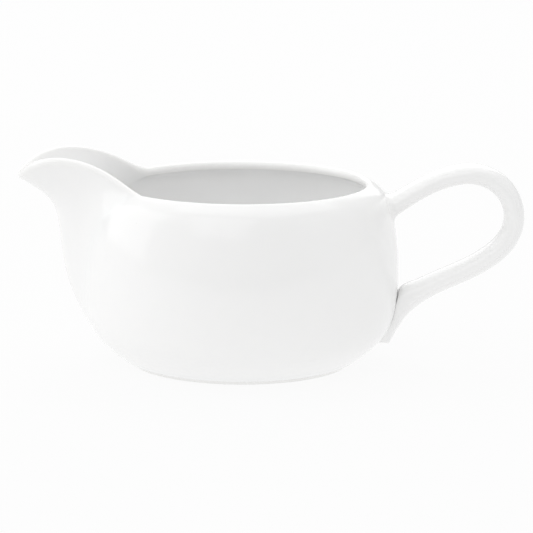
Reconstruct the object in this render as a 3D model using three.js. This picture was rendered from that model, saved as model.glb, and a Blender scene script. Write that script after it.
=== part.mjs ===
// Porcelain gravy boat: a round slip-cast bowl with a drawn-in mouth and a prow-like pouring spout,
// an unglazed foot ring under it, and a loop strap handle stuck on with two fillets of slip.
// Millimetres. +Z up, the spout points to -X, the handle to +X, the boat is symmetric about Y = 0.
import * as THREE from "three";

// ---- driving dimensions ----
const AXIS_X = -11.9; // the bowl's axis, measured from the middle of the overall length
const WALL = 3.6; // wall of the casting, and so the thickness of the rolled lip
const FLOOR = 7.0; // height of the inside floor above the table
const FLOOR_BLEND = 3.0; // how softly the inside wall runs out into the floor
const FOOT_HEIGHT = 2.6; // standing ring
const FOOT_INNER_R = 38.6;
const RECESS = 0.5; // the underside inside the foot ring domes up by this much
const GAP = 0.3; // left between pieces that touch
const BEAK_WIDTH = 8.9; // degrees either side of the keel over which the beak dips
const NOSE_POWER = 2.5; // the spout is a bell in plan: 2 is pointed, higher is blunter
const SLIP_LEG = 2.6; // leg of the slip fillets on the wall and on the strap
const SLIP_EDGE = 0.25; // thickness at which a slip fillet is wiped off

// The outside of the vessel, foot to lip. Each row is one level of the wall:
// r, z      radius and height of the round part of the bowl
// reach     how far the keel of the spout stands out beyond r
// lift      how much the flanks of the spout rise above z
// dip       how much the keel itself stays behind that rise (the beak)
// valley    half angle, in degrees, at which the spout meets the round wall
// nose      half angle of the spout's nose, in degrees
// soft      softness of the valley, 0 for a crisp crease
const LEVELS = [
  { r: 42.7, z: 0.0, reach: 0, lift: 0, dip: 0, valley: 9, nose: 7.2, soft: 0.25 },
  { r: 53.8, z: 7.6, reach: 0, lift: 0, dip: 0, valley: 9, nose: 7.2, soft: 0.25 },
  { r: 60.9, z: 16.1, reach: 0, lift: 0, dip: 0, valley: 10, nose: 7.2, soft: 0.25 },
  { r: 62.5, z: 31.7, reach: 6.3, lift: 0, dip: 0, valley: 13, nose: 7.7, soft: 0.15 },
  { r: 62.0, z: 48.1, reach: 9.3, lift: 0.3, dip: 0, valley: 18, nose: 9.4, soft: 0.1 },
  { r: 59.4, z: 62.5, reach: 13, lift: 2, dip: 2.5, valley: 27, nose: 11.8, soft: 0.08 },
  { r: 56.6, z: 69.0, reach: 21, lift: 7, dip: 8, valley: 34, nose: 14.4, soft: 0.06 },
  { r: 51.7, z: 71.9, reach: 35.2, lift: 13.3, dip: 12.0, valley: 39, nose: 17.5, soft: 0.05 },
];

// The strap of the handle, upper root to tail. x and z place its middle line (x from the bowl's
// axis), thick and wide are its half thickness in the plane of the loop and its half width.
const STRAP = [
  { x: 55.0, z: 60.0, thick: 4.3, wide: 7.8 },
  { x: 66.0, z: 67.2, thick: 3.9, wide: 6.6 },
  { x: 73.8, z: 71.8, thick: 3.85, wide: 6.3 },
  { x: 82.3, z: 75.1, thick: 3.9, wide: 6.3 },
  { x: 91.4, z: 76.6, thick: 4.05, wide: 6.5 },
  { x: 100.3, z: 73.6, thick: 4.1, wide: 6.6 },
  { x: 106.6, z: 66.7, thick: 4.1, wide: 6.6 },
  { x: 108.5, z: 57.3, thick: 4.05, wide: 6.5 },
  { x: 105.0, z: 48.5, thick: 4.2, wide: 6.5 },
  { x: 97.9, z: 42.4, thick: 4.2, wide: 6.5 },
  { x: 90.0, z: 37.9, thick: 4.1, wide: 6.5 },
  { x: 81.7, z: 34.3, thick: 4.15, wide: 6.5 },
  { x: 73.4, z: 30.6, thick: 4.1, wide: 6.6 },
  { x: 65.0, z: 25.7, thick: 5.0, wide: 7.2 },
  { x: 61.6, z: 17.0, thick: 1.8, wide: 6.4 },
  { x: 58.2, z: 8.7, thick: 1.2, wide: 4.8 },
];
const STRAP_ROUNDNESS = 2.3; // exponent of its section: 2 is an ellipse, higher is squarer

// ---- finishes ----
const glaze = () =>
  new THREE.MeshStandardMaterial({ color: 0xf3f2ee, roughness: 0.12, metalness: 0 });
const glazedSlip = () =>
  new THREE.MeshStandardMaterial({ color: 0xefeee9, roughness: 0.18, metalness: 0 });
const biscuit = () =>
  new THREE.MeshStandardMaterial({ color: 0xe4ddd0, roughness: 0.85, metalness: 0 });

// ---- curves ----
// Uniform cubic B-spline through rows of named numbers, u from 0 to 1; it starts on the first row
// and ends on the last.
function along(rows, u) {
  const spans = rows.length - 1;
  const at = THREE.MathUtils.clamp(u, 0, 1) * spans;
  const i = Math.min(Math.floor(at), spans - 1);
  const f = at - i;
  const weights = [
    (1 - f) ** 3 / 6,
    (3 * f ** 3 - 6 * f ** 2 + 4) / 6,
    (-3 * f ** 3 + 3 * f ** 2 + 3 * f + 1) / 6,
    f ** 3 / 6,
  ];
  const row = (k, key) => {
    if (k < 0) return 2 * rows[0][key] - rows[1][key];
    if (k > spans) return 2 * rows[spans][key] - rows[spans - 1][key];
    return rows[k][key];
  };
  const out = {};
  for (const key of Object.keys(rows[0])) {
    out[key] = weights.reduce((sum, w, k) => sum + w * row(i - 1 + k, key), 0);
  }
  return out;
}

// Root of a function that changes sign once between a and b.
function bisect(f, a, b) {
  const start = Math.sign(f(a));
  for (let k = 0; k < 40; k++) {
    const middle = (a + b) / 2;
    if (Math.sign(f(middle)) === start) a = middle;
    else b = middle;
  }
  return (a + b) / 2;
}

// ---- the vessel's wall ----
// Point of the outside of the wall: u runs from the foot to the lip, psi is the angle round the
// bowl from the keel of the spout, in degrees, -180 to 180.
function wallPoint(u, psi) {
  const w = along(LEVELS, u);
  const away = Math.abs(psi);
  const inside = 1 - (away / w.valley) ** 2;
  const flank = (inside + Math.hypot(inside, w.soft)) / 2;
  const r = w.r + (w.reach * flank) / (1 + (away / w.nose) ** NOSE_POWER);
  const rise = Math.max(1 - (away / (w.valley + 2)) ** 2, 0) ** 2;
  const z = w.z + w.lift * rise - w.dip * Math.exp(-((away / BEAK_WIDTH) ** 2));
  const a = THREE.MathUtils.degToRad(psi);
  return new THREE.Vector3(-r * Math.cos(a), -r * Math.sin(a), z);
}

// Directions of the wall there: up (along the profile) and out (its outward normal).
function wallFrame(u, psi) {
  const du = 2e-3;
  const low = wallPoint(Math.max(u - du, 0), psi);
  const up = wallPoint(Math.min(u + du, 1), psi).sub(low).normalize();
  const round = wallPoint(u, psi + 0.05).sub(wallPoint(u, psi - 0.05)).normalize();
  const out = new THREE.Vector3().crossVectors(round, up).normalize();
  return { up, out };
}

// Point of the inside of the wall; near the bottom it runs out into the level floor.
function innerPoint(u, psi) {
  const p = wallPoint(u, psi);
  p.addScaledVector(wallFrame(u, psi).out, -WALL);
  p.z = aboveFloor(p.z);
  return p;
}

function aboveFloor(z) {
  return (z + FLOOR + Math.hypot(z - FLOOR, FLOOR_BLEND)) / 2;
}

// Level at which the round wall reaches height z, and its radius there.
const levelAt = (z) => bisect((u) => along(LEVELS, u).z - z, 0, 1);
const wallRadius = (z) => along(LEVELS, levelAt(z)).r;

// Distance of a point outside the round wall, measured level.
const offWall = (p) => Math.hypot(p.x, p.y) - wallRadius(p.z);

// ---- meshes ----
// Closed skin over a list of rings of equal length: its two ends are single points, or the last
// ring is joined to the first when it is looped.
function skin(rings, looped) {
  const n = Math.max(...rings.map((ring) => ring.length));
  const points = [];
  const starts = rings.map((ring) => {
    points.push(...ring);
    return points.length - ring.length;
  });
  const faces = [];
  const vertex = (k, j) => starts[k] + (rings[k].length === 1 ? 0 : j % n);
  const bands = looped ? rings.length : rings.length - 1;
  for (let k = 0; k < bands; k++) {
    const next = (k + 1) % rings.length;
    for (let j = 0; j < n; j++) {
      const [a, b] = [vertex(k, j), vertex(k, j + 1)];
      const [c, d] = [vertex(next, j + 1), vertex(next, j)];
      if (a !== b) faces.push(a, b, c);
      if (c !== d) faces.push(a, c, d);
    }
  }
  return solid(points, faces);
}

function solid(points, faces) {
  let volume = 0;
  for (let k = 0; k < faces.length; k += 3) {
    const [a, b, c] = [points[faces[k]], points[faces[k + 1]], points[faces[k + 2]]];
    volume += a.dot(new THREE.Vector3().crossVectors(b, c));
  }
  if (volume < 0) faces.reverse();
  const geometry = new THREE.BufferGeometry().setFromPoints(points);
  geometry.setIndex(faces);
  geometry.translate(AXIS_X, 0, 0);
  geometry.computeVertexNormals();
  return geometry;
}

const steps = (from, to, count) =>
  Array.from({ length: count + 1 }, (_, k) => from + ((to - from) * k) / count);

// ---- bowl: underside, outside of the wall, rolled lip, inside of the wall, floor ----
// Angles round the bowl: close together on the nose of the spout, wide on the round wall.
function anglesRound() {
  const half = [
    ...steps(0, 12, 8),
    ...steps(12, 45, 13).slice(1),
    ...steps(45, 180, 20).slice(1),
  ];
  const other = half.slice(1, -1).map((a) => -a);
  return [...other.reverse(), ...half];
}

function bowl() {
  const angles = anglesRound();
  const ring = (place) => angles.map(place);
  const flat = (r, z) =>
    ring((psi) => {
      const a = THREE.MathUtils.degToRad(psi);
      return new THREE.Vector3(-r * Math.cos(a), -r * Math.sin(a), z);
    });
  const under = FOOT_HEIGHT + GAP;
  const start = levelAt(under);
  const rows = [[new THREE.Vector3(0, 0, under + RECESS)]];
  rows.push(flat(24, under + RECESS * 0.6));
  rows.push(flat(FOOT_INNER_R - 1, under));
  for (const u of [...steps(start, 0.8, 10), ...steps(0.8, 1, 7).slice(1)]) {
    rows.push(ring((psi) => wallPoint(u, psi)));
  }
  for (const turn of steps(0, Math.PI, 5).slice(1, -1)) {
    rows.push(ring((psi) => lipPoint(psi, turn)));
  }
  for (const u of [...steps(1, 0.8, 6), ...steps(0.8, start, 9).slice(1)]) {
    rows.push(ring((psi) => innerPoint(u, psi)));
  }
  const edge = innerPoint(start, 180);
  for (const r of [41, 34, 18]) {
    rows.push(flat(r, aboveFloor(edge.z - FLOOR_BLEND - (edge.x - r) * 0.6)));
  }
  rows.push([new THREE.Vector3(0, 0, FLOOR)]);
  return skin(rows, false);
}

// The lip is rolled over in a half round from the outside of the wall to the inside.
function lipPoint(psi, turn) {
  const { up, out } = wallFrame(1, psi);
  const p = wallPoint(1, psi).addScaledVector(out, -WALL / 2);
  p.addScaledVector(out, (Math.cos(turn) * WALL) / 2);
  return p.addScaledVector(up, (Math.sin(turn) * WALL) / 2);
}

// ---- foot ring: its outside carries on the curve of the wall, its standing face is flat ----
function footRing() {
  const profile = [
    new THREE.Vector2(FOOT_INNER_R + 0.8, 0),
    new THREE.Vector2(wallRadius(0.01) - 0.4, 0),
    new THREE.Vector2(wallRadius(0.01), 0.25),
  ];
  for (const z of steps(0.9, FOOT_HEIGHT, 2)) {
    profile.push(new THREE.Vector2(wallRadius(z), z));
  }
  profile.push(new THREE.Vector2(FOOT_INNER_R, FOOT_HEIGHT));
  profile.push(new THREE.Vector2(FOOT_INNER_R, 0.8));
  profile.push(profile[0].clone());
  const ring = new THREE.LatheGeometry(profile, 80);
  ring.rotateX(Math.PI / 2);
  ring.translate(AXIS_X, 0, 0);
  return ring;
}

// ---- handle ----
// Point of the strap's surface: t runs from the upper root to the tail, theta goes round the
// section from the outer side of the loop; grow swells the section, scale shrinks it.
function strapPoint(t, theta, grow = 0, scale = 1) {
  const s = along(STRAP, t);
  const { outward } = strapFrame(t);
  const round = (v) => Math.sign(v) * Math.abs(v) ** (2 / STRAP_ROUNDNESS);
  const across = (s.thick * scale + grow) * round(Math.cos(theta));
  const p = new THREE.Vector3(s.x, (s.wide * scale + grow) * round(Math.sin(theta)), s.z);
  return p.addScaledVector(outward, across);
}

function strapFrame(t) {
  const [a, b] = [along(STRAP, Math.max(t - 0.004, 0)), along(STRAP, Math.min(t + 0.004, 1))];
  const forward = new THREE.Vector3(b.x - a.x, 0, b.z - a.z).normalize();
  return { forward, outward: new THREE.Vector3(-forward.z, 0, forward.x) };
}

const UPPER = [0, 0.16]; // stretches of the strap in which it comes out of the wall
const LOWER = [0.91, 0.8]; // and runs back on to it
const CLEAR = 0.11; // from here on its rings are square to its middle line

// Where a line of the strap's surface reaches the wall, in one of those stretches.
function meeting(stretch, theta, grow = 0, scale = 1, off = GAP) {
  const t = bisect((v) => offWall(strapPoint(v, theta, grow, scale)) - off, ...stretch);
  return { t, p: strapPoint(t, theta, grow, scale) };
}

// A point of the strap that would sink into the wall lies pressed against it instead.
function pressed(p) {
  const short = GAP - offWall(p);
  if (short <= 0) return p;
  const r = Math.hypot(p.x, p.y);
  return p.set(p.x * (1 + short / r), p.y * (1 + short / r), p.z);
}

function handle() {
  const sides = steps(0, 2 * Math.PI, 24).slice(0, -1);
  const rings = [[meeting(UPPER, 0, 0, 0).p]];
  for (const scale of [0.35, 0.7, 1]) {
    rings.push(sides.map((theta) => meeting(UPPER, theta, 0, scale).p));
  }
  for (const part of [1 / 3, 2 / 3]) {
    rings.push(
      sides.map((theta) => {
        const root = meeting(UPPER, theta).t;
        return strapPoint(root + (CLEAR - root) * part, theta);
      }),
    );
  }
  for (const t of [...steps(CLEAR, 0.78, 26), ...steps(0.78, 1, 16).slice(1)]) {
    rings.push(sides.map((theta) => pressed(strapPoint(t, theta))));
  }
  // the tail ends in a blunt round
  const { forward } = strapFrame(1);
  const { thick } = along(STRAP, 1);
  for (const turn of [Math.PI / 6, Math.PI / 3, Math.PI / 2.3]) {
    rings.push(
      sides.map((theta) => {
        const p = strapPoint(1, theta, 0, Math.cos(turn));
        return p.addScaledVector(forward, thick * Math.sin(turn));
      }),
    );
  }
  const end = along(STRAP, 1);
  rings.push([new THREE.Vector3(end.x, 0, end.z).addScaledVector(forward, thick)]);
  return skin(rings, false);
}

// ---- slip fillets ----
// Section of a fillet in the corner between the strap and the wall, for one line of the strap.
function filletSection(stretch, theta) {
  const { t, p: corner } = meeting(stretch, theta, GAP);
  const psi = THREE.MathUtils.radToDeg(Math.atan2(-corner.y, -corner.x));
  const wallOut = wallFrame(levelAt(corner.z), psi).out;
  const ahead = strapPoint(t + 1e-3, theta, GAP).sub(strapPoint(t - 1e-3, theta, GAP));
  const beside = strapPoint(t, theta + 1e-2, GAP).sub(strapPoint(t, theta - 1e-2, GAP));
  const strapOut = new THREE.Vector3().crossVectors(beside, ahead).normalize();
  const middle = along(STRAP, t);
  if (strapOut.dot(corner.clone().sub(new THREE.Vector3(middle.x, 0, middle.z))) < 0) {
    strapOut.negate();
  }
  const onWall = strapOut.clone().addScaledVector(wallOut, -strapOut.dot(wallOut)).normalize();
  const onStrap = wallOut.clone().addScaledVector(strapOut, -wallOut.dot(strapOut)).normalize();
  const top = corner.clone().addScaledVector(onStrap, SLIP_LEG);
  const rim = corner.clone().addScaledVector(onWall, SLIP_LEG);
  const topEdge = top.clone().addScaledVector(strapOut, SLIP_EDGE);
  const rimEdge = rim.clone().addScaledVector(wallOut, SLIP_EDGE);
  const pull = topEdge.clone().add(rimEdge).multiplyScalar(0.5).lerp(corner, 0.6);
  const hollow = new THREE.QuadraticBezierCurve3(topEdge, pull, rimEdge);
  return [corner, top, ...hollow.getPoints(4), rim];
}

// The upper fillet runs right round the strap.
function upperJoint() {
  const sides = steps(0, 2 * Math.PI, 32).slice(0, -1);
  return skin(sides.map((theta) => filletSection(UPPER, theta)), true);
}

// The lower one only fills the corner under the strap, and is open where the tail leaves it.
function lowerJoint() {
  const sides = steps(Math.PI - 0.72, Math.PI + 0.72, 12);
  const sections = sides.map((theta) => filletSection(LOWER, theta));
  const middle = (section) =>
    section.reduce((sum, p) => sum.add(p), new THREE.Vector3()).divideScalar(section.length);
  return skin([[middle(sections[0])], ...sections, [middle(sections.at(-1))]], false);
}

// ---- assembly ----
const group = new THREE.Group();
group.name = "gravy_boat";

function add(name, geometry, material) {
  const mesh = new THREE.Mesh(geometry, material);
  mesh.name = name;
  group.add(mesh);
}

add("bowl", bowl(), glaze());
add("foot_ring", footRing(), biscuit());
add("handle", handle(), glaze());
add("upper_handle_joint", upperJoint(), glazedSlip());
add("lower_handle_joint", lowerJoint(), glazedSlip());

export default group;
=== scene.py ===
"""White glazed porcelain gravy boat, in metres, in the frame of its CAD part: +Z up, the spout
points to -X, the handle to +X, and the boat is symmetric about the plane Y = 0."""

import bpy
import numpy as np
from mathutils import Matrix, Vector


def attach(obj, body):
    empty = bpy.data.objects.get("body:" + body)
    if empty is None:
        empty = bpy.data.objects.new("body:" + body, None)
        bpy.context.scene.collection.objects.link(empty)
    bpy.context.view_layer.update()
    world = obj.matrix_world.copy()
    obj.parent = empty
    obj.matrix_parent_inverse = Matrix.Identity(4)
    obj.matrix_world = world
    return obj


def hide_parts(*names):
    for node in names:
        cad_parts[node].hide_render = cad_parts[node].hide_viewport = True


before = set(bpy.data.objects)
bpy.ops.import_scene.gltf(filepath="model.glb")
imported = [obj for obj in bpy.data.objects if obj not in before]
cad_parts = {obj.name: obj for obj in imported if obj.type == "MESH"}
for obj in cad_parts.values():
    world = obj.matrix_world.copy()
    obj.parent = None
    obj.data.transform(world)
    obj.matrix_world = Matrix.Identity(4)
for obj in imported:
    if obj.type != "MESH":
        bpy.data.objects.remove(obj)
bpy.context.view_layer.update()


# ---- camera ----
# A long lens a little above the mouth, square on to the boat's side.
CAMERA_DISTANCE = 1.300
CAMERA_HEIGHT_ANGLE = np.radians(11.2)
CAMERA_TILT = np.radians(0.3)
CAMERA_AIM = Vector((-0.0018, 0, 0.0382))
FOCAL_LENGTH = 221.8
SENSOR_WIDTH = 36

lens = bpy.data.cameras.new("camera")
lens.lens = FOCAL_LENGTH
lens.sensor_width = SENSOR_WIDTH
lens.clip_end = 20
camera = bpy.data.objects.new("camera", lens)
bpy.context.scene.collection.objects.link(camera)
back = Vector((0, -np.cos(CAMERA_HEIGHT_ANGLE), np.sin(CAMERA_HEIGHT_ANGLE)))
facing = (-back).to_track_quat("-Z", "Y").to_matrix().to_4x4()
camera.matrix_world = (
    Matrix.Translation(CAMERA_AIM + back * CAMERA_DISTANCE) @ facing @ Matrix.Rotation(CAMERA_TILT, 4, "Z")
)
bpy.context.scene.camera = camera


# ---- studio ----
# A white sheet that glows by itself, so it holds almost no shadow, in a pale room with large soft
# lights on the spout's side, in front, above, behind and, weakly, on the handle's side. The sheet
# is the first thing with a material, so the class that builds materials is here.
GLOW = (0.98, 0.98, 0.98, 1)
DIM_GLOW = (0.45, 0.45, 0.45, 1)
DIM_BEFORE, BRIGHT_BEYOND = -0.55, -0.25
GLOW_SHARE = 0.9
ROOM_LIGHT = 0.69


class Shade:
    """A procedural material. Its node outputs are Values, which do arithmetic with Math nodes."""

    def __init__(self, name):
        self.material = bpy.data.materials.new(name)
        self.material.use_nodes = True
        self.tree = self.material.node_tree
        self.tree.nodes.clear()
        self.place = self.node("TexCoord", out="Object")

    def node(self, kind, settings=None, sockets=None, out=0):
        """Adds a node of that kind: settings first, then socket values or links, by name or place."""
        node = self.tree.nodes.new("ShaderNode" + kind)
        for key, value in (settings or {}).items():
            setattr(node, key, value)
        for key, value in (sockets or {}).items():
            if isinstance(value, Value):
                self.tree.links.new(value.socket, node.inputs[key])
            else:
                node.inputs[key].default_value = value
        return Value(self, node.outputs[out])

    def noise(self, size, detail=2.0, roughness=0.5):
        """Soft noise from 0 to 1 whose features are about size metres across."""
        return self.node(
            "TexNoise",
            sockets={"Vector": self.place, "Scale": 1 / size, "Detail": detail, "Roughness": roughness},
        )

    def attribute(self, name):
        return self.node("Attribute", {"attribute_name": name}, out="Fac")

    def blend(self, amount, a, b):
        """Colour a where amount is 0, colour b where it is 1."""
        return self.node("Mix", {"data_type": "RGBA"}, {0: amount, 6: a, 7: b}, out=2)

    def bump(self, height, depth):
        """Normal of a relief whose height runs from 0 to 1 over depth metres."""
        return self.node("Bump", sockets={"Strength": 1.0, "Distance": depth, "Height": height})

    def finish(self, surface):
        """Ends the material on a shader and returns it."""
        end = self.tree.nodes.new("ShaderNodeOutputMaterial")
        self.tree.links.new(surface.socket, end.inputs["Surface"])
        return self.material


class Value:
    """An output of a Shade that can be added, multiplied and so on."""

    def __init__(self, shade, socket):
        self.shade = shade
        self.socket = socket

    def math(self, operation, *terms):
        return self.shade.node("Math", {"operation": operation}, dict(enumerate(terms)))

    def __add__(self, other):
        return self.math("ADD", self, other)

    def __sub__(self, other):
        return self.math("SUBTRACT", self, other)

    def __mul__(self, other):
        return self.math("MULTIPLY", self, other)

    __radd__ = __add__
    __rmul__ = __mul__

    def between(self, low, high):
        """0 below low, 1 above high, smooth between; the other way round if low is above high."""
        return self.shade.node(
            "MapRange",
            {"interpolation_type": "SMOOTHSTEP"},
            {"Value": self, "From Min": low, "From Max": high},
        )


def mesh_object(name, points, faces):
    """A smooth-shaded object from points in metres and lists of point numbers, one per face."""
    mesh = bpy.data.meshes.new(name)
    mesh.from_pydata(np.asarray(points, float).tolist(), [], faces)
    mesh.polygons.foreach_set("use_smooth", np.ones(len(mesh.polygons), bool))
    mesh.update()
    thing = bpy.data.objects.new(name, mesh)
    bpy.context.scene.collection.objects.link(thing)
    return thing


paper = Shade("white paper")
grain = paper.noise(0.0012, 3.0)
fibre = paper.blend(grain, (0.90, 0.90, 0.90, 1), (0.94, 0.94, 0.94, 1))
sheet = paper.node("BsdfPrincipled", sockets={"Base Color": fibre, "Roughness": 0.9})
y = paper.node("SeparateXYZ", sockets={"Vector": paper.place}, out="Y")
# the glow falls off in front of the boat, so that the lower front of the bowl is less lit
lit = paper.blend(y.between(DIM_BEFORE, BRIGHT_BEYOND), DIM_GLOW, GLOW)
glow = paper.node("Emission", sockets={"Color": lit, "Strength": 1.0})
floor = mesh_object("floor", [(-6, -3, 0), (6, -3, 0), (6, 9, 0), (-6, 9, 0)], [(0, 1, 2, 3)])
surface = paper.node("MixShader", sockets={0: GLOW_SHARE, 1: sheet, 2: glow})
floor.data.materials.append(paper.finish(surface))

world = bpy.data.worlds.new("room")
bpy.context.scene.world = world
world.use_nodes = True
world.node_tree.nodes["Background"].inputs["Color"].default_value = (1, 1, 1, 1)
world.node_tree.nodes["Background"].inputs["Strength"].default_value = ROOM_LIGHT
bpy.context.scene.view_settings.view_transform = "Standard"


def softbox(name, place, size, power):
    """A square light at place, size metres wide, of power watts, facing the boat."""
    light = bpy.data.lights.new(name, "AREA")
    light.size = size
    light.energy = power
    lamp = bpy.data.objects.new(name, light)
    bpy.context.scene.collection.objects.link(lamp)
    towards = Vector((0, 0, 0.04)) - Vector(place)
    lamp.matrix_world = Matrix.Translation(place) @ towards.to_track_quat("-Z", "Y").to_matrix().to_4x4()


softbox("left light", (-1.4, 0.1, 0.65), 1.3, 5)
softbox("front light", (-0.4, -1.3, 1.1), 1.3, 4.2)
softbox("top light", (0.1, 0.2, 1.3), 1.4, 3.8)
softbox("right light", (1.4, -0.3, 0.6), 1.4, 1)
softbox("back light", (0, 1.2, 0.9), 1.4, 5)


# ---- bowl: vessel, pouring spout and rolled lip in one slip casting ----
# Porcelain slip is cast about 3.6 mm thick in a plaster mould. The spout is a prow pulled out of
# the round wall, its keel falling to a beak at the tip, and the lip is rolled to a half round.
AXIS_X = -11.9
WALL = 3.6
FLOOR = 7.0
FLOOR_BLEND = 3.0
FOOT_HEIGHT = 2.6
FOOT_INNER_R = 38.6
BEAK_WIDTH = 8.9
NOSE_POWER = 2.5
BEAD = 0.15
BEAD_SPREAD = 0.45
COLUMNS = 320
WALL_ROWS = 110
# Under side inside the foot ring, from the middle out: radius, and height above the ring's top.
UNDER = ((12, 0.68), (24, 0.6), (34, 0.4), (37.4, 0.3), (41.0, -0.4), (43.2, -1.1))
UNDER_MIDDLE = 0.7
# One row per level of the outside, foot to lip, in millimetres and degrees: radius, height, reach
# of the keel beyond the radius, lift of the spout's flanks, dip of its keel, half angle of the
# valley between spout and bowl, half angle of the nose, softness of the valley.
LEVELS = np.array([
    (42.7, 0.0, 0.0, 0.0, 0.0, 9.0, 7.2, 0.25),
    (53.8, 7.6, 0.0, 0.0, 0.0, 9.0, 7.2, 0.25),
    (60.9, 16.1, 0.0, 0.0, 0.0, 10.0, 7.2, 0.25),
    (62.5, 31.7, 6.3, 0.0, 0.0, 13.0, 7.7, 0.15),
    (62.0, 48.1, 9.3, 0.3, 0.0, 18.0, 9.4, 0.10),
    (59.4, 62.5, 13.0, 2.0, 2.5, 27.0, 11.8, 0.08),
    (56.6, 69.0, 21.0, 7.0, 8.0, 34.0, 14.4, 0.06),
    (51.7, 71.9, 35.2, 13.3, 12.0, 39.0, 17.5, 0.05),
])


def along(rows, u):
    """Uniform cubic B-spline through the rows, for an array u from 0 to 1; it starts on the first
    row and ends on the last. Each point is a blend of four rows, weighted by cubics of how far u
    has come between the middle two."""
    rows = np.concatenate([2 * rows[:1] - rows[1:2], rows, 2 * rows[-1:] - rows[-2:-1]])
    spans = len(rows) - 3
    at = np.clip(u, 0, 1) * spans
    i = np.minimum(at.astype(int), spans - 1)
    f = (at - i)[..., None]
    return (
        (1 - f) ** 3 * rows[i]
        + (3 * f**3 - 6 * f**2 + 4) * rows[i + 1]
        + (-3 * f**3 + 3 * f**2 + 3 * f + 1) * rows[i + 2]
        + f**3 * rows[i + 3]
    ) / 6


def round_at(r, degrees, z):
    """Points at radius r and height z round the bowl's axis, measured from the spout."""
    a = np.radians(degrees)
    return np.stack(np.broadcast_arrays(-r * np.cos(a), -r * np.sin(a), z), -1)


def wall_point(u, psi):
    """Outside of the wall at level u and angle psi degrees from the keel. The plan is a circle plus
    the keel's reach times a bell of the angle, cut off at the valley; the height is the level's
    height plus a bump over the spout, less a narrow dip over its keel."""
    r, z, reach, lift, dip, valley, nose, soft = np.moveaxis(along(LEVELS, u), -1, 0)
    inside = 1 - (psi / valley) ** 2
    flank = (inside + np.hypot(inside, soft)) / 2
    r = r + reach * flank / (1 + np.abs(psi / nose) ** NOSE_POWER)
    rise = np.maximum(1 - (psi / (valley + 2)) ** 2, 0) ** 2
    return round_at(r, psi, z + lift * rise - dip * np.exp(-((psi / BEAK_WIDTH) ** 2)))


def unit(v):
    return v / np.linalg.norm(v, axis=-1, keepdims=True)


def wall_frame(u, psi):
    """Directions up the profile and out of the wall, from small steps each way."""
    up = wall_point(np.minimum(u + 1e-3, 1), psi) - wall_point(np.maximum(u - 1e-3, 0), psi)
    sideways = wall_point(u, psi + 0.05) - wall_point(u, psi - 0.05)
    return unit(up), unit(np.cross(sideways, up))


def above_floor(z):
    """Height that never comes below the floor, and leaves it softly."""
    return (z + FLOOR + np.hypot(z - FLOOR, FLOOR_BLEND)) / 2


def level_at(z):
    """Level u at which the round wall reaches height z."""
    u = np.linspace(0, 1, 4001)
    return np.interp(z, along(LEVELS, u)[:, 1], u)


def skin(name, grid, ends=None):
    """Closed object over a grid of points (rows, columns, 3), in millimetres from the bowl's axis.
    Columns close on themselves. The first and last row are joined to each other, or each to its
    own point if two end points are given. Faces point outwards: their volume sum is positive."""
    rows, columns, _ = grid.shape
    index = np.arange(rows * columns).reshape(rows, columns)
    a, d = (index, np.roll(index, -1, axis=0)) if ends is None else (index[:-1], index[1:])
    quads = np.stack([a, np.roll(a, -1, axis=1), np.roll(d, -1, axis=1), d], -1).reshape(-1, 4)
    points = grid.reshape(-1, 3)
    corner = points[quads]
    diagonals = np.cross(corner[:, 2] - corner[:, 0], corner[:, 3] - corner[:, 1])
    turn = 1 if (corner.mean(axis=1) * diagonals).sum() > 0 else -1
    faces = quads[:, ::turn].tolist()
    if ends is not None:
        points = np.concatenate([points, ends])
        for row, pole, way in ((index[0], rows * columns, -turn), (index[-1], rows * columns + 1, turn)):
            fan = np.stack([row, np.roll(row, -1), np.full(columns, pole)], -1)
            faces += fan[:, ::way].tolist()
    return mesh_object(name, (points + (AXIS_X, 0, 0)) / 1000, faces)


def store(thing, name, values):
    """Keeps one number per vertex for the material to read; end points get 0."""
    full = np.zeros(len(thing.data.vertices), np.float32)
    full[: values.size] = values.ravel()
    thing.data.attributes.new(name, "FLOAT", "POINT").data.foreach_set("value", full)


# Angles round the bowl crowd together on the nose of the spout.
s = np.linspace(-1, 1, COLUMNS + 1)[:-1]
angles = 180 * (0.3 * s + 0.7 * s**3)
start = level_at(FOOT_HEIGHT * 0.7)
levels = np.linspace(start, 1, WALL_ROWS)[:, None]
outside = wall_point(levels, angles)
up, out = wall_frame(levels, angles)
# the glaze ends in a small rounded bead just above the bare foot
outside = outside + out * BEAD * np.exp(-(((outside[..., 2:] - FOOT_HEIGHT) / BEAD_SPREAD) ** 2))
inside = (wall_point(levels, angles) - out * WALL)[::-1]
roll = np.linspace(0, np.pi, 16)[1:-1, None, None]
lip = outside[-1:] + WALL / 2 * ((np.cos(roll) - 1) * out[-1:] + np.sin(roll) * up[-1:])
# the floor's rows run in from the wall's last one, along a cone that above_floor lays flat
inward = np.cos(np.linspace(0, np.pi / 2, 26))[1:-1, None, None]
floor_rows = inside[-1:] * inward
floor_rows[..., 2] = inside[-1:, :, 2] - np.hypot(*inside[-1:, :, :2].T).T * 0.6 * (1 - inward[..., 0])
inside = np.concatenate([inside, floor_rows])
inside[..., 2] = above_floor(inside[..., 2])
under = [round_at(r, angles, FOOT_HEIGHT + rise)[None] for r, rise in UNDER]
rows = np.concatenate([*under, outside, lip, inside])
poles = [(0, 0, FOOT_HEIGHT + UNDER_MIDDLE), (0, 0, inside[-1, :, 2].mean())]
bowl = skin("bowl", rows, ends=poles)
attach(bowl, "root")
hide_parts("bowl")

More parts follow.
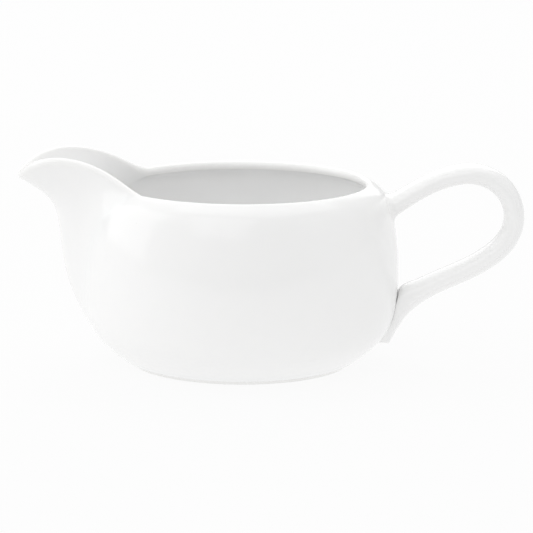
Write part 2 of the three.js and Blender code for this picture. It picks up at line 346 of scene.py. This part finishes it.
# The glaze gathers in hollows, in the valley beside the spout, above the foot and in the corner of
# the floor, and is glossier there; its colour there is also painted darker, as painted shade. It runs thin
# over the lip and close beside it.
THINNING = 60
valley = along(LEVELS, levels)[..., 5]
valleys = np.exp(-(((np.abs(angles) - valley) / 5) ** 2)) * np.clip(levels * 2 - 0.4, 0, 1)
pool_and_shade_outside = np.clip(valleys + np.exp(-(((outside[..., 2] - 3) / 1.5) ** 2)), 0, 1)
pool_and_shade_inside = np.exp(-(((inside[..., 2] - FLOOR - 2.5) / 3) ** 2))
pool_and_shade = [np.zeros((len(under), COLUMNS)), pool_and_shade_outside, np.zeros(lip.shape[:2]), pool_and_shade_inside]
store(bowl, "pool_and_shade", np.concatenate(pool_and_shade))
thin_outside = levels**THINNING + 0 * angles
thin_floor = np.zeros((len(floor_rows), COLUMNS))
thin = [np.zeros((len(under), COLUMNS)), thin_outside, np.ones(lip.shape[:2])]
store(bowl, "thin", np.concatenate([*thin, thin_outside[::-1], thin_floor]))


def glazed(name, body, shade, ripple):
    """Clear gloss glaze on white porcelain: its surface swells and sinks by ripple metres over
    some 25 mm, with a fine orange peel on top and a rare faint iron speck under it."""
    glaze = Shade(name)
    swell = glaze.noise(0.025, 1.0)
    mottle = glaze.noise(0.006, 3.0)
    peel = glaze.noise(0.0012, 2.0)
    pool_and_shade, thin = glaze.attribute("pool_and_shade"), glaze.attribute("thin")
    colour = glaze.blend(mottle, body, shade)
    # painted shade: the colour is made darker and cooler where the glaze gathers in hollows
    colour = glaze.blend(0.5 * pool_and_shade, colour, (0.89, 0.90, 0.90, 1))
    colour = glaze.blend(0.4 * thin, colour, (0.92, 0.915, 0.90, 1))
    cells = {"Vector": glaze.place, "Scale": 1 / 0.009}
    speck = glaze.node("TexVoronoi", sockets=cells).between(0.032, 0.012)
    chance = glaze.node("TexNoise", sockets={"Vector": glaze.place, "Scale": 1 / 0.02}).between(0.58, 0.62)
    colour = glaze.blend(0.35 * speck * chance, colour, (0.42, 0.36, 0.30, 1))
    relief = swell + (0.02 * mottle + 0.006 * peel)
    coat = {
        "Base Color": colour,
        "Roughness": 0.11 + 0.06 * mottle - 0.03 * pool_and_shade + 0.05 * thin,
        "IOR": 1.52,
        "Normal": glaze.bump(relief, ripple),
    }
    return glaze.finish(glaze.node("BsdfPrincipled", sockets=coat))


gloss = glazed("glazed porcelain", (0.915, 0.915, 0.912, 1), (0.93, 0.93, 0.927, 1), 0.00022)
bowl.data.materials.append(gloss)


# ---- foot ring: bare porcelain, turned flush with the wall and polished ----
# The glaze is wiped off it before firing so that the boat doesn't stick to the kiln shelf.
edge = along(LEVELS, np.linspace(level_at(0.3), level_at(FOOT_HEIGHT), 8))[:, :2] - (0.12, 0)
profile = np.array([
    (FOOT_INNER_R + 0.9, 0.0),
    (FOOT_INNER_R + 1.4, 0.0),
    (41.6, 0.0),
    (42.2, 0.05),
    *edge,
    (41.0, FOOT_HEIGHT),
    (FOOT_INNER_R, FOOT_HEIGHT),
    (FOOT_INNER_R, 0.9),
    (FOOT_INNER_R + 0.3, 0.3),
])
foot_ring = skin("foot_ring", round_at(profile[:, :1], angles, profile[:, 1:]))
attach(foot_ring, "root")
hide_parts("foot_ring")

biscuit = Shade("biscuit porcelain")
speckle = biscuit.noise(0.0009, 4.0, 0.6)
stain = biscuit.noise(0.012, 3.0)
bare = biscuit.blend(stain, (0.84, 0.835, 0.82, 1), (0.88, 0.88, 0.87, 1))
ground = {"Base Color": bare, "Roughness": 0.62 + 0.2 * speckle, "Normal": biscuit.bump(speckle, 4e-5)}
foot_ring.data.materials.append(biscuit.finish(biscuit.node("BsdfPrincipled", sockets=ground)))


# ---- handle: a loop strap, cast on its own and stuck on with slip ----
# Its upper end butts on the shoulder; its lower end is pressed down the wall and thins to a tail.
# One row per station of its middle line: distance from the bowl's axis, height, half thickness,
# half width.
STRAP = np.array([
    (55.0, 60.0, 4.3, 7.8),
    (66.0, 67.2, 3.9, 6.6),
    (73.8, 71.8, 3.85, 6.3),
    (82.3, 75.1, 3.9, 6.3),
    (91.4, 76.6, 4.05, 6.5),
    (100.3, 73.6, 4.1, 6.6),
    (106.6, 66.7, 4.1, 6.6),
    (108.5, 57.3, 4.05, 6.5),
    (105.0, 48.5, 4.2, 6.5),
    (97.9, 42.4, 4.2, 6.5),
    (90.0, 37.9, 4.1, 6.5),
    (81.7, 34.3, 4.15, 6.5),
    (73.4, 30.6, 4.1, 6.6),
    (65.0, 25.7, 5.0, 7.2),
    (61.6, 17.0, 1.8, 6.4),
    (58.2, 8.7, 1.2, 4.8),
])
STRAP_ROUNDNESS = 2.3
SEAM_ANGLE = 1.25
SEAM_DEPTH = 0.025
UPPER = (0.0, 0.16)
LOWER = (0.91, 0.8)
ROOT_DEPTH = 1.6
CLEAR = 0.11


def strap_frame(t):
    """Directions along the middle line and out of the loop."""
    step = unit(along(STRAP, t + 2e-3)[..., :2] - along(STRAP, t - 2e-3)[..., :2])
    zero = np.zeros(step.shape[:-1])
    forward = np.stack([step[..., 0], zero, step[..., 1]], -1)
    outward = np.stack([-step[..., 1], zero, step[..., 0]], -1)
    return forward, outward


def strap_point(t, theta, scale=1.0):
    """Surface of the strap: a superellipse, its half width across and its half thickness in the
    plane of the loop, carried along the middle line. theta starts on the outer side. The section
    sinks by a hair along the two seams of the mould, and the tail narrows towards its end."""
    x, z, thick, wide = np.moveaxis(along(STRAP, t), -1, 0)
    power = 2 / STRAP_ROUNDNESS
    c = np.sign(np.cos(theta)) * np.abs(np.cos(theta)) ** power
    w = np.sign(np.sin(theta)) * np.abs(np.sin(theta)) ** power
    from_outer = np.pi - np.abs(np.pi - theta)
    fettled = np.clip((t - 0.3) / 0.1, 0, 1) * np.clip((0.9 - t) / 0.05, 0, 1)
    size = scale * (1 - SEAM_DEPTH * fettled * np.exp(-(((from_outer - SEAM_ANGLE) / 0.06) ** 2)))
    narrowing = 1 - 0.4 * np.clip((t - 0.93) / 0.07, 0, 1) ** 2
    middle = np.stack([x + 0 * theta, wide * narrowing * size * w, z + 0 * theta], -1)
    return middle + strap_frame(t)[1] * (thick * size * c)[..., None]


def wall_radius(z):
    return along(LEVELS, level_at(z))[..., 0]


def off_wall(p):
    """Level distance of points outside the round wall."""
    return np.hypot(p[..., 0], p[..., 1]) - wall_radius(p[..., 2])


def brought_out(p, short):
    """Points moved away from the bowl's axis by short."""
    grow = 1 + short / np.hypot(p[..., 0], p[..., 1])
    return p * np.stack([grow, grow, np.ones_like(grow)], -1)


def root_line(stretch, theta, depth=0.0):
    """Where each line of the strap comes within depth of the wall's outside, in that stretch: the
    first change of sign, found by straight interpolation."""
    t = np.linspace(*stretch, 600)
    off = off_wall(strap_point(t[:, None], theta)) + depth
    i = np.argmax(off > 0, axis=0)
    low, high = np.take_along_axis(off, i[None] - 1, 0)[0], np.take_along_axis(off, i[None], 0)[0]
    return t[i - 1] + (t[i] - t[i - 1]) * low / (low - high)


def laid_down(p, t, theta):
    """The tail's under side, brought right down on the wall as t goes from 0.81 to 0.89 and spread
    a little at its edges, as clay is when it is pressed on. Elsewhere nothing sinks into the wall."""
    down = np.clip((t - 0.81) / 0.08, 0, 1)
    down = down * down * (3 - 2 * down) * np.clip(-np.cos(theta) * 2.5, 0, 1)
    off = off_wall(p)
    p = brought_out(p, np.maximum(-0.05 - off, 0) - down * np.maximum(off + 0.05, 0))
    return p * np.stack([np.ones_like(down), 1 + 0.1 * down, np.ones_like(down)], -1)


theta = np.linspace(0, 2 * np.pi, 193)[:-1]
buried = root_line(UPPER, theta, ROOT_DEPTH)
butt = buried + (CLEAR - buried) * np.linspace(0, 1, 24)[:-1, None]
loop = np.concatenate([np.linspace(CLEAR, 0.8, 170), np.linspace(0.8, 1, 90)[1:]])[:, None]
tube = laid_down(strap_point(loop, theta), loop, theta)
forward = strap_frame(np.ones((1, 1)))[0][0, 0]
turn = np.linspace(0, np.pi / 2, 12)[1:-1, None]
cap = forward * STRAP[-1, 2] * np.sin(turn)[..., None]
tail = strap_point(np.ones_like(turn), theta, np.cos(turn)) + cap
tail = laid_down(tail, np.ones_like(turn), theta)
first = strap_point(butt, theta)
tip = np.array([STRAP[-1, 0], 0, STRAP[-1, 1]]) + forward * STRAP[-1, 2]
handle = skin("handle", np.concatenate([first, tube, tail]), ends=[first[0].mean(axis=0), tip])
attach(handle, "root")
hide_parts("handle")
handle.data.materials.append(gloss)


# ---- handle joints: luting slip, sponged to a hollow fillet in the corner of strap and wall ----
# The upper one runs right round the strap; the lower one only fills the corner under it, and
# fades where the tail lies down on the wall. Both are glazed with the rest.
UPPER_LEG = 3.2
LOWER_LEG = 2.2


def fillet(stretch, theta, leg, points=12):
    """Sections of a fillet, one per line theta of the strap. Each is a quadratic curve from the
    strap, one leg up from the corner, to the wall, one leg off, with the corner as its control
    point, so it leaves both surfaces along their tangents; a point inside the wall closes it."""
    t = root_line(stretch, theta)
    corner = strap_point(t, theta)
    away = np.sign(stretch[1] - stretch[0])
    ahead = unit(strap_point(t + away * 1e-3, theta) - corner)
    speed = np.linalg.norm(strap_point(t + 1e-3, theta) - corner, axis=-1) / 1e-3
    top = strap_point(t + away * leg / speed, theta)
    z = corner[..., 2]
    slope = (wall_radius(z + 0.2) - wall_radius(z - 0.2)) / 0.4
    level = corner * (1, 1, 0) / np.hypot(corner[..., 0], corner[..., 1])[..., None]
    out = unit(level - np.stack([0 * slope, 0 * slope, slope], -1))
    beside = strap_point(t, theta + 1e-2) - strap_point(t, theta - 1e-2)
    proud = unit(np.cross(beside, ahead))
    middle = along(STRAP, t)
    centre = np.stack([middle[..., 0], 0 * t, middle[..., 1]], -1)
    proud *= np.sign(((corner - centre) * proud).sum(-1, keepdims=True))
    off = unit(proud - (proud * out).sum(-1, keepdims=True) * out)
    rim = corner + off * leg[..., None]
    rim = brought_out(rim, -off_wall(rim))
    sunk_top, sunk_rim = top - proud * 0.03, rim - out * 0.03
    f = np.linspace(0, 1, points)[:, None, None]
    curve = (1 - f) ** 2 * sunk_top + 2 * f * (1 - f) * corner + f**2 * sunk_rim
    heel = corner - out * 0.8 - proud * 0.3
    return np.concatenate([curve, heel[None]]).swapaxes(0, 1)


slip = glazed("glazed slip", (0.91, 0.91, 0.905, 1), (0.925, 0.925, 0.92, 1), 0.00030)
round_strap = np.linspace(0, 2 * np.pi, 121)[:-1]
upper_joint = skin("upper_handle_joint", fillet(UPPER, round_strap, np.full(120, UPPER_LEG)))
under_strap = np.linspace(np.pi - 0.85, np.pi + 0.85, 60)
fade = np.sqrt(np.clip(1 - ((under_strap - np.pi) / 0.9) ** 2, 0, 1))
sections = fillet(LOWER, under_strap, LOWER_LEG * fade)
lower_joint = skin("lower_handle_joint", sections, ends=[sections[0].mean(0), sections[-1].mean(0)])
for joint, node in ((upper_joint, "upper_handle_joint"), (lower_joint, "lower_handle_joint")):
    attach(joint, "root")
    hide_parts(node)
    joint.data.materials.append(slip)
